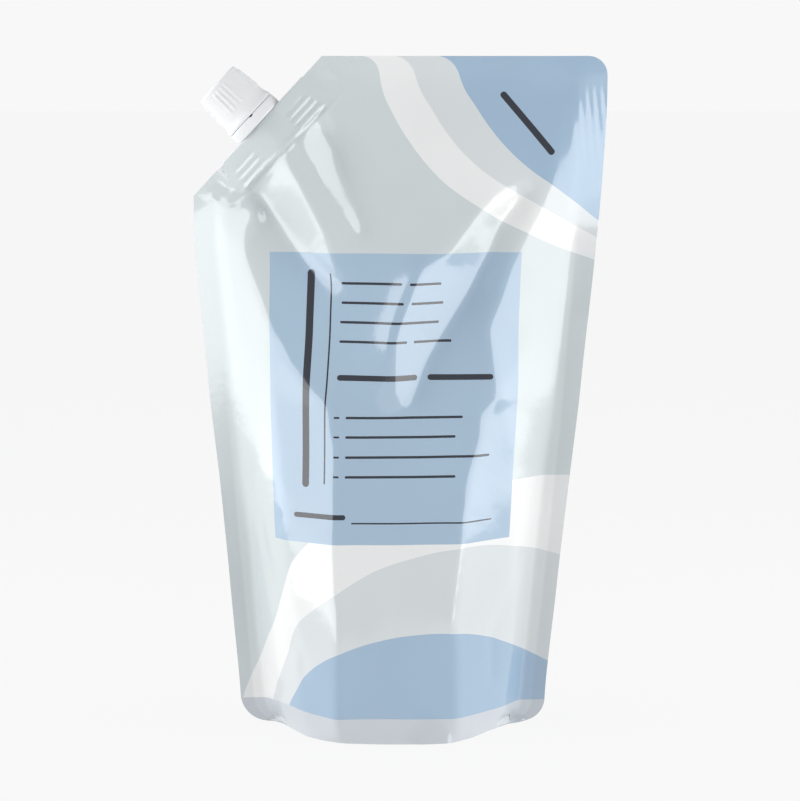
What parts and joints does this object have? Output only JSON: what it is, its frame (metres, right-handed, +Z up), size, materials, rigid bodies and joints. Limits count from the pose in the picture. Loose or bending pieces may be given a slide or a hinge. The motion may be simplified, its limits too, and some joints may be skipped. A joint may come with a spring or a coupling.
{
  "type": "hand soap refill pouch",
  "caption": "Stand-up film pouch for liquid soap, with a bottom gusset, sealed edges and a slanting corner spout under a ribbed screw cap and tamper band.",
  "frame": {"origin": "on the standing surface, under the middle of the pouch's width and depth", "axes": "+Z up, +X to the right as seen from the front, the front panel faces -Y"},
  "size_m": [0.132, 0.0692, 0.2148],
  "materials": {
    "film": "glossy printed laminate film, pale grey-blue with white bands and mid-blue fields",
    "natural_plastic": "natural moulded polyethylene, slightly translucent",
    "white_plastic": "white moulded polyethylene, satin"
  },
  "bodies": {
    "pack": {"pouch": "film", "spout": "natural_plastic"},
    "band": {"tamper_band": "white_plastic"},
    "cap": {"cap": "white_plastic"}
  },
  "joints": [
    {"name": "cap_turn", "type": "hinge", "parent": "pack", "child": "band", "pos_m": [-0.04458, 0, 0.19339], "axis": [-0.7346, 0, 0.6786], "range_deg": [0, 630]},
    {"name": "cap_lift", "type": "slide", "parent": "band", "child": "cap", "axis": [-0.7346, 0, 0.6786], "range_m": [0, 0.00491]}
  ],
  "couplings": [
    {"joint": "cap_lift", "follows": "cap_turn", "m_per_rad": 0.00044563}
  ]
}
